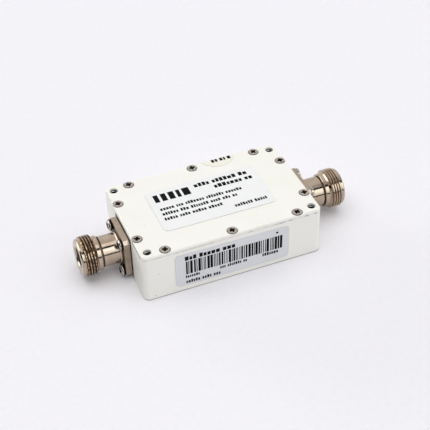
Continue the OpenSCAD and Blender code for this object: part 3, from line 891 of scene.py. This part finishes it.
screw = make_screw("small_screw", countersunk_profile(), COVER_HEAD_RISE, COVER_HEAD_D / 2, *SMALL_RECESS,
                   SMALL_FOOT)
places = [Matrix.Translation((x, y, top_z)) for x, y in cover_screw_places]
dress(place_screws("countersunk_screws", screw, places), [metals["zinc_plated_screw_steel"], grime_and_shade],
      "cover_screws")
for side, end in ENDS.items():
    screw = make_screw("pan_screw", pan_profile(), FLANGE_HEAD_H, FLANGE_HEAD_D / 2, *PAN_RECESS,
                       PAN_FEET[side])
    places = [end_of(side) @ Matrix.Translation((u, v, FLANGE_T)) for u, v in flange_screw_places]
    dress(place_screws(end + "_pan_screws", screw, places), [metals["bright_chromed_screw_steel"], grime_and_shade],
          end + "_flange_screws", 40)

# %% [markdown]
# A jack's shell is one turned piece with a square flange. The thread is cut as a true right-hand helix, 24
# turns to the inch. Its rows of points follow the helix, so each crest and root stays a clean line. A row
# that runs past either end of the thread is held at that end, which gives the thread its natural start and
# run-out. Round the thread the radius is the lower of the tooth's shape and the cone at each end. A fine
# notch parts the thread from the plain nose, as the corner of the cutting tool leaves it.

# %% Thread
THREAD_PITCH = 25.4 / 24
THREAD_DEPTH = 0.6
THREAD_START = 12.2
THREAD_LEAD_R = 6.85
THREAD_LEAD_SLOPE = 1.2
THREAD_END = 17.54
THREAD_TURN = 0.45
RUN_IN = 2
TOOTH = [(0.0, 0.0), (0.16, 0.0), (0.4, 1.0), (0.72, 1.0)]
NOSE_R = 7.4
NOSE_DIP = 0.06


def tooth_radius(height, turn):
    """Radius of the thread at a height from the wall and at an angle, counted in turns."""
    share = ((height - THREAD_START) / THREAD_PITCH - turn - THREAD_TURN) % 1.0
    keys = TOOTH + [(1.0, 0.0)]
    for (a, low), (b, high) in zip(keys, keys[1:]):
        if a <= share <= b:
            rise = low + (high - low) * (share - a) / (b - a)
            break
    root = THREAD_R - THREAD_DEPTH
    lead = THREAD_LEAD_R + (height - THREAD_START) * THREAD_LEAD_SLOPE
    end = NOSE_R - NOSE_DIP + (THREAD_END - height)
    return min(root + rise * THREAD_DEPTH, lead, end)


def thread_rows(bm, steps):
    """Rows of vertices along the helix, from the collar to the nose, joined by faces."""
    turns = math.ceil((THREAD_END - THREAD_START) / THREAD_PITCH) + RUN_IN + 1
    rows = []
    for turn in range(turns):
        for key, _ in TOOTH:
            row = []
            for i in range(steps):
                share = i / steps
                height = THREAD_START + THREAD_PITCH * (turn - RUN_IN + key + THREAD_TURN + share)
                height = min(max(height, THREAD_START), THREAD_END)
                radius = tooth_radius(height, share) if height < THREAD_END else NOSE_R - NOSE_DIP
                a = 2 * math.pi * share
                row.append(bm.verts.new((radius * math.cos(a), radius * math.sin(a), height)))
            rows.append(row)
    for low, high in zip(rows, rows[1:]):
        for i in range(steps - 1):
            bm.faces.new((low[i], low[i + 1], high[i + 1], high[i]))
    for low, high, next_low, next_high in zip(rows, rows[1:], rows[len(TOOTH):], rows[len(TOOTH) + 1:]):
        bm.faces.new((low[-1], next_low[0], next_high[0], high[-1]))


# %% Flange
EDGE = 0.12
FLANGE_CHAMFER = 1.3
CORNER_SHARE = 0.41


def flange_loop(bm, inset, height):
    """The flange's square outline with cut-off corners, each bend slightly rounded."""
    half = flange_w / 2 - inset
    inner = flange_w / 2 - FLANGE_CHAMFER - inset * CORNER_SHARE
    points = [(half, -inner), (half, inner), (inner, half), (-inner, half),
              (-half, inner), (-half, -inner), (-inner, -half), (inner, -half)]
    start = tuple((a + b) / 2 for a, b in zip(points[0], points[1]))
    ring = soften([start, *points[1:], points[0], start], EDGE)
    return [bm.verts.new((x, y, height)) for x, y in ring[:-1]]


def fill_between(bm, loops):
    """Fills a flat face whose first loop is its edge and whose other loops are its holes."""
    edges = []
    for loop in loops:
        for a, b in zip(loop, loop[1:] + loop[:1]):
            edges.append(bm.edges.get((a, b)) or bm.edges.new((a, b)))
    bmesh.ops.triangle_fill(bm, edges=edges, use_beauty=True, use_dissolve=False)


# %% Jack shells
NOSE_CUT = 0.5
COLLAR_R = 6.85
COLLAR_CUT = 0.25
BOSS_R = 6.6
BOSS_H = 0.8
GROOVE_DEPTH = 0.4
BORE_R = 4.8
SEAT_R = 3.5
SEAT_H = 7.35
SOCKET_R = 4.05
SOCKET_H = jack_l - 9.0
LIP = 0.6
FLANGE_SOFT = 0.18
FLANGE_GAP = 0.25
FLANGE_HOLE_D = 2.8
FLANGE_HOLE_STEPS = 32


def make_shell():
    bm = bmesh.new()
    groove_start, groove_end = GROOVE
    groove_r = BARREL_R - GROOVE_DEPTH
    outer = [(BOSS_R, FLANGE_T), (BOSS_R, FLANGE_T + BOSS_H / 2), (BOSS_R - BOSS_H / 2, FLANGE_T + BOSS_H),
             (BARREL_R, FLANGE_T + BOSS_H), (BARREL_R, groove_start), (groove_r, groove_start),
             (groove_r, groove_end), (COLLAR_R - COLLAR_CUT, groove_end),
             (COLLAR_R, groove_end + COLLAR_CUT), (COLLAR_R, THREAD_START)]
    loops = lathe(bm, soften(outer, EDGE))
    nose = [(NOSE_R - NOSE_DIP, THREAD_END), (NOSE_R, THREAD_END + NOSE_DIP), (NOSE_R, jack_l - NOSE_CUT),
            (NOSE_R - NOSE_CUT, jack_l), (SOCKET_R + LIP, jack_l), (SOCKET_R, jack_l - LIP),
            (SOCKET_R, SOCKET_H), (SEAT_R, SOCKET_H), (SEAT_R, SEAT_H), (BORE_R, SEAT_H), (BORE_R, 0)]
    inner = lathe(bm, soften(nose, EDGE))
    thread_rows(bm, TURN_STEPS)
    rim = [flange_loop(bm, FLANGE_GAP, 0), flange_loop(bm, 0, FLANGE_GAP)]
    rim += [flange_loop(bm, FLANGE_SOFT * (1 - math.cos(a)), FLANGE_T - FLANGE_SOFT * (1 - math.sin(a)))
            for a in (0, math.pi / 6, math.pi / 3, math.pi / 2)]
    stitch(bm, rim)
    front, rear = ([circle(bm, FLANGE_HOLE_D / 2, height, FLANGE_HOLE_STEPS, x, y)
                    for x, y in flange_screw_places] for height in (FLANGE_T, 0))
    for loop_pair in zip(rear, front):
        stitch(bm, loop_pair)
    fill_between(bm, [rim[-1], loops[0], *front])
    fill_between(bm, [rim[0], inner[-1], *rear])
    bmesh.ops.remove_doubles(bm, verts=bm.verts, dist=MERGE)
    bmesh.ops.dissolve_degenerate(bm, edges=bm.edges, dist=MERGE)
    return bm


shell_mesh = make_shell()
for side, end in ENDS.items():
    turn = Matrix.Rotation(-math.pi / 2 if side < 0 else 0.0, 4, "Z")
    shell = write(end + "_threaded_shell", shell_mesh.copy(), end_of(side) @ turn)
    dress(shell, [nickel], end + "_jack_shell", 40)
shell_mesh.free()

# %% [markdown]
# The labels are thin film with rounded corners. Their print is lines of plain dashes in uneven groups, a
# row of upright blocks and a band of plain upright bars. The dashes are raised by the thickness of a coat
# of ink, so they stay crisp from any distance. The film's cut edges on the left and in front get painted
# shade, which draws them as fine dark lines. A row of dashes is given by where it starts and ends, its
# foot, its height, the seed of its chance and, if it isn't the usual one, its weight.

# %% Print
DASH_GAP = 0.17
GROUP_GAP = 0.45
GROUP = (3, 7)
DASH_REST = 0.5
DASH_SPREAD = (0.75, 1.15)
DASH_HEIGHTS = (0.8, 0.8, 1.0)
BAR_REST = 0.8
BAR_WIDTHS = (0.35, 0.35, 0.7, 1.0)
BAR_GAPS = (0.25, 0.3, 0.4, 0.55)


def dashes(x0, x1, y0, height, seed, weight=0.5):
    """Plain dashes in uneven groups, from x0 to x1, as (left, right, low, high) boxes."""
    chance = random.Random(seed)
    boxes = []
    x = x0
    while x < x1 - height * DASH_REST:
        for _ in range(chance.randint(*GROUP)):
            width = height * weight * chance.uniform(*DASH_SPREAD)
            if x + width > x1:
                break
            top = y0 + height * chance.choice(DASH_HEIGHTS)
            boxes.append((x, x + width, y0, top))
            x += width + height * DASH_GAP
        x += height * GROUP_GAP
    return boxes


def bars(x0, x1, low, high, seed):
    """A band of plain upright bars of mixed widths."""
    chance = random.Random(seed)
    boxes = []
    x = x0
    while x < x1 - BAR_REST:
        width = chance.choice(BAR_WIDTHS)
        boxes.append((x, x + width, low, high))
        x += width + chance.choice(BAR_GAPS)
    return boxes


# %% A film label
INK_T = 0.012
FILM_T = 0.1
FILM_SOFT = 0.04
LABEL_R = 2.0
UPRIGHT = 0.5
FACES_AWAY = -0.3


def film(name, length, width, boxes, at, tint, node):
    """A film label with its print, as one mesh, with painted shade on its edges to the left and in front."""
    bm = bmesh.new()
    block(bm, length, width, LABEL_R, rounded_levels(0, FILM_T, 0.0, FILM_SOFT, 2))
    bm.normal_update()
    # Edges that face left or front get the near-black finish: painted shade.
    for face in bm.faces:
        if abs(face.normal.z) < UPRIGHT and min(face.normal.x, face.normal.y) < FACES_AWAY:
            face.material_index = 2
    printed = len(bm.faces)
    for left, right, low, high in boxes:
        corners = ((left, low), (right, low), (right, high), (left, high))
        loft(bm, [[bm.verts.new((x, y, z)) for x, y in corners] for z in (FILM_T - INK_T, FILM_T + INK_T)])
    bm.faces.ensure_lookup_table()
    for face in bm.faces[printed:]:
        face.material_index = 1
    finishes = [plains[tint + "_polyester_film"], plains["black_print_ink"], grime_and_shade]
    dress(write(name, bm, at), finishes, node)


# %% Labels on the cover and on the front
BLOCKS = [(-20.5, -18.6, 5.0, 9.6), (-17.5, -15.4, 5.0, 9.6), (-14.4, -12.1, 5.0, 9.6),
          (-11.1, -9.6, 5.0, 9.6), (-8.6, -5.7, 5.0, 9.6)]
COVER_ROWS = [(-3.2, 20.7, 8.0, 2.2, 3, 0.65), (4.1, 20.7, 4.6, 2.2, 5, 0.65), (-20.4, 14.8, -0.3, 1.7, 7),
              (-20.5, 10.9, -3.3, 1.7, 11), (-20.7, 3.7, -6.4, 1.7, 13), (7.0, 22.0, -9.5, 1.7, 17)]
FRONT_TITLE = (-19.5, 1.6, 4.5, 2.0, 19, 0.7)
FRONT_ROWS = [(-19.4, -12.4, -4.2, 1.3, 29), (-5.4, 6.6, -4.3, 1.4, 31), (12.2, 20.2, -4.3, 1.5, 37),
              (-19.3, -4.9, -6.9, 1.5, 41)]
FRONT_BARS = (-19.2, 21.2, -2.4, 4.0, 23)
FRONT_DOT = (17.8, 18.7, 5.4, 6.2)
FRONT_L = 46.8
FRONT_H = 15.8
FRONT_TILT = 0.5

left, right = span("rating_label", 0)
low, high = span("rating_label", 1)
cover_at = Matrix.Translation(((left + right) / 2, (low + high) / 2, top_z))
cover_print = BLOCKS + [box for row in COVER_ROWS for box in dashes(*row)]
film("cover_film_label", right - left, high - low, cover_print, cover_at, "white", "rating_label")

x, z = (sum(span("serial_label", axis)) / 2 for axis in (0, 2))
front_at = (Matrix.Translation((x, -body_w / 2, z)) @ Matrix.Rotation(math.pi / 2, 4, "X")
            @ Matrix.Rotation(-math.radians(FRONT_TILT), 4, "Z"))
front_print = dashes(*FRONT_TITLE) + bars(*FRONT_BARS) + [FRONT_DOT]
front_print += [box for row in FRONT_ROWS for box in dashes(*row)]
film("front_film_label", FRONT_L, FRONT_H, front_print, front_at, "grey", "serial_label")

# %% [markdown]
# The seal is a round paper sticker folded over the rear edge. Each point of the disc is given by how far it
# lies across the fold, so the same rule carries the disc and its print over the rounded edge without
# stretching them. Its cut rim has a darker paper finish, painted shade.

# %% Fold
BEND_R = RIM_TOP
SEAL_COLUMNS = 16


def folded(x, along, lift):
    """A point of the seal: along is measured across the fold, from the box's corner, rearwards and down."""
    bend_start = -BEND_R
    bend_end = bend_start + BEND_R * math.pi / 2
    radius = BEND_R + lift
    if along <= bend_start:
        return (x, body_w / 2 + along, top_z + lift)
    if along >= bend_end:
        return (x, body_w / 2 + lift, top_z - BEND_R - (along - bend_end))
    a = (along - bend_start) / BEND_R
    return (x, body_w / 2 - BEND_R + radius * math.sin(a), top_z - BEND_R + radius * math.cos(a))


def folded_sheet(bm, rows, low, high, index, edge_index):
    """A closed sheet over the fold, from rows of (along, left, right) and the heights of its faces."""
    layers = []
    for lift in (low, high):
        layer = []
        for along, left, right in rows:
            xs = [left + (right - left) * i / SEAL_COLUMNS for i in range(SEAL_COLUMNS + 1)]
            layer.append([bm.verts.new(folded(x, along, lift)) for x in xs])
        layers.append(layer)
    strips = [(a, b, index) for layer in layers for a, b in zip(layer, layer[1:])]
    rims = [[[row[0] for row in net], [row[-1] for row in net], net[0], net[-1]] for net in layers]
    strips += [(a, b, edge_index) for a, b in zip(*rims)]
    for a, b, kind in strips:
        for i in range(len(a) - 1):
            bm.faces.new((a[i], a[i + 1], b[i + 1], b[i])).material_index = kind


# %% Seal
SEAL_R = 7.4
SEAL_REACH = 5.4
SEAL_T = 0.1
SEAL_TIP = 1e-4
SEAL_STEPS = 36
PRINT_STEPS = 8
PRINT_SPAN = (-2.2, -0.1)
PRINT = ((8.7, 9.9), (10.3, 11.3), (12.3, 13.5), (13.9, 14.7), (15.6, 17.0))
seal_x = sum(span("seal_label", 0)) / 2


def make_seal():
    bm = bmesh.new()
    start, end = -SEAL_REACH, 2 * SEAL_R - SEAL_REACH
    middle = SEAL_R - SEAL_REACH
    places = {middle - SEAL_R * math.cos(math.pi * i / SEAL_STEPS) for i in range(SEAL_STEPS + 1)}
    places |= {-BEND_R + BEND_R * math.pi / 2 * i / PRINT_STEPS for i in range(PRINT_STEPS + 1)}
    rows = []
    for along in sorted(places):
        half = math.sqrt(max(SEAL_R ** 2 - (along - middle) ** 2, SEAL_TIP))
        rows.append((min(max(along, start), end), seal_x - half, seal_x + half))
    folded_sheet(bm, rows, 0.0, SEAL_T, 0, 2)
    low, high = PRINT_SPAN
    steps = [low + (high - low) * i / PRINT_STEPS for i in range(PRINT_STEPS + 1)]
    for left, right in PRINT:
        folded_sheet(bm, [(s, left, right) for s in steps], SEAL_T - INK_T, SEAL_T + INK_T, 1, 1)
    return write("paper_seal_disc", bm)


# The rim's darker paper is painted shade.
seal_finishes = [plains["paper_seal"], plains["black_print_ink"], plains["shaded_paper_edge"]]
dress(make_seal(), seal_finishes, "seal_label", 60)

# %% [markdown]
# The pieces inside the box and inside the jacks keep their solids, whose shapes are right. They get their
# finishes here. Through the jack's mouth the white insulator and the gold contact show.

# %% Finishes of the solids that stay
KEPT = {
    "circuit_board": plains["glass_epoxy_board"], "board_screws": metals["zinc_plated_screw_steel"],
    "solder_joints": metals["soft_solder"], "resonator_coils": metals["enamelled_copper_wire"],
    "resonator_capacitors": plains["fired_ceramic"], "coupling_capacitors": plains["fired_ceramic"],
}
for end in ENDS.values():
    KEPT[end + "_insulator"] = plains["turned_ptfe"]
    KEPT[end + "_retaining_bush"] = nickel
    KEPT[end + "_contact"] = metals["gold_plated_bronze"]
for node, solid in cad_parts.items():
    if not solid.hide_render:
        solid.data.materials.clear()
        solid.data.materials.append(KEPT[node])
        print("kept:", node)

# %% [markdown]
# The floor is a sheet of pale paper. A wide soft lamp overhead, a little behind and to the left, gives the
# faint shadows, and a sky that is brighter in front than behind fills them. The sky is dark in front on the
# left, which leaves the end wall in shade, and a low light behind on the left rakes along that wall, so the
# jack shades it. Polished metal needs something to reflect, so rays that come off glossy surfaces see a
# plain studio instead. Its main thing is a white panel that leans in front of the box, from the table up to
# about 60 degrees, with thin dark gaps at its edges. Those gaps draw the dark lines along the jacks. There
# is a strip of light above it that fades to the right, and a window behind on the left with a dark wall in
# front of it, which make the threads and screws sparkle. Each patch of the sky has a middle, half a width
# and a fade along x, y and z.

# %% Floor
FLOOR_SIZE = 6.0
FLOOR_DROP = 0.02
FIBRE = 2.0


def make_floor():
    material, tree, shader, place = start_finish("pale_paper", "#F4F3F7", 0.8)
    tone = wander(tree, place, FIBRE, 5.0, "#F3F2F6", "#F6F4F9", 0.35, 0.65)[1]
    fill(tree, shader, {"Base Color": tone, "Specular IOR Level": 0.2})
    bm = bmesh.new()
    half = FLOOR_SIZE / MM / 2
    corners = ((-half, -half), (half, -half), (half, half), (-half, half))
    bm.faces.new([bm.verts.new((x, y, -FLOOR_DROP)) for x, y in corners])
    floor = write("floor", bm)
    floor.data.materials.append(material)


make_floor()

# %% Lamp
LAMP_ENERGY = 1.25
LAMP_SPREAD = 70
LAMP_TILT = (-2, -8)


def make_lamp():
    lamp = bpy.data.objects.new("overhead_lamp", bpy.data.lights.new("overhead_lamp", "SUN"))
    lamp.data.energy = LAMP_ENERGY
    lamp.data.angle = math.radians(LAMP_SPREAD)
    lamp.rotation_euler = (*map(math.radians, LAMP_TILT), 0)
    lamp.visible_glossy = False
    bpy.context.scene.collection.objects.link(lamp)


make_lamp()

# %% Sky
PANEL_LEAN = 0.3
PANEL = [(0.0, (0.85,)), (0.08, (0.85,)), (0.09, (0.01,)), (0.235, (0.01,)), (0.245, (1.2,)),
         (0.35, (1.5,)), (0.6, (2.2,)), (0.7, (2.5,)), (0.83, (2.45,)), (0.86, (0.01,)), (0.985, (0.01,)),
         (0.99, (1.0,))]
PANEL_TINT = (0.94, 1.0, 1.02, 1.0)
PANEL_BREADTH = (-0.62, 0.59, 0.04)
STRIP_BREADTH = (-0.2, 0.22, 0.04)
STRIP_LEAN = (1.17, 0.2, 0.005)
STRIP_LIGHT = (0.2, 0.34, 1.6, 0.6)
SKY_LIGHT = (-0.4, 0.4, 0.86, 0.46)
ROOM = [(0.0, (0.8,)), (0.6, (1.0,)), (1.0, (0.9,))]
WINDOW = ((-0.72, 0.18, 0.05), (0.58, 0.38, 0.05), (0.4, 0.25, 0.05))
DARK_WALL = ((-1.0, 0.6, 0.06), (-0.5, 0.66, 0.04), (0.3, 0.5, 0.05))
SHADE = ((-0.9, 0.5, 0.25), (-0.4, 0.6, 0.15), (0.1, 0.55, 0.15))
LOW_LAMP = ((-0.5, 0.15, 0.05), (0.8, 0.2, 0.05), (0.12, 0.12, 0.03))
WINDOW_LIGHT = 3.2
WALL_LIGHT = 0.02
SHADE_LIGHT = 0.05
LAMP_LIGHT = 10.0


def paint(tree, ground, *patches):
    """Lays patches of light over a ground, each through its own mask."""
    for mask, light in patches:
        feed = light if isinstance(light, bpy.types.NodeSocket) else (light, light, light, 1.0)
        ground = add(tree, "Mix", {0: mask, 6: ground, 7: feed}, out=2, data_type="RGBA")
    return ground


def make_sky():
    world = bpy.data.worlds.new("studio")
    bpy.context.scene.world = world
    world.use_nodes = True
    tree = world.node_tree
    tree.nodes.clear()
    way = add(tree, "SeparateXYZ", [add(tree, "TexCoord", out="Generated")], out=None)
    x, y, z = way

    def patch(reaches):
        """A mask over a patch of the sky."""
        return join(tree, "MULTIPLY", *(near(tree, part, *reach, 1.0) for part, reach in zip(way, reaches)))

    lean = add(tree, "Math", [x, PANEL_LEAN, z], operation="MULTIPLY_ADD")
    board = add(tree, "ValToRGB", [lean], PANEL)
    panel = add(tree, "Mix", {0: 1.0, 6: board, 7: PANEL_TINT}, out=2, data_type="RGBA",
                blend_type="MULTIPLY")
    room = add(tree, "ValToRGB", [z], ROOM)
    ahead = near(tree, y, *PANEL_BREADTH, 1.0)
    above = join(tree, "MULTIPLY", near(tree, y, *STRIP_BREADTH, 1.0), near(tree, lean, *STRIP_LEAN, 1.0))
    over = add(tree, "MapRange", [x, *STRIP_LIGHT])
    glossy = paint(tree, room, (ahead, panel), (above, over), (patch(WINDOW), WINDOW_LIGHT),
                   (patch(DARK_WALL), WALL_LIGHT))
    soft = add(tree, "MapRange", [y, *SKY_LIGHT])
    matt = paint(tree, soft, (patch(SHADE), SHADE_LIGHT), (patch(LOW_LAMP), LAMP_LIGHT))
    rays = add(tree, "LightPath", out=None)
    shown = add(tree, "Background", [matt, 1.0])
    for kind, colour in (("Is Camera Ray", linear("#F2F1F6")), ("Is Glossy Ray", glossy)):
        light = add(tree, "Background", [colour, 1.0])
        shown = add(tree, "MixShader", [rays[kind], shown, light])
    add(tree, "OutputWorld", [shown], out=None)


make_sky()
print("sky:", bpy.context.scene.world.name)
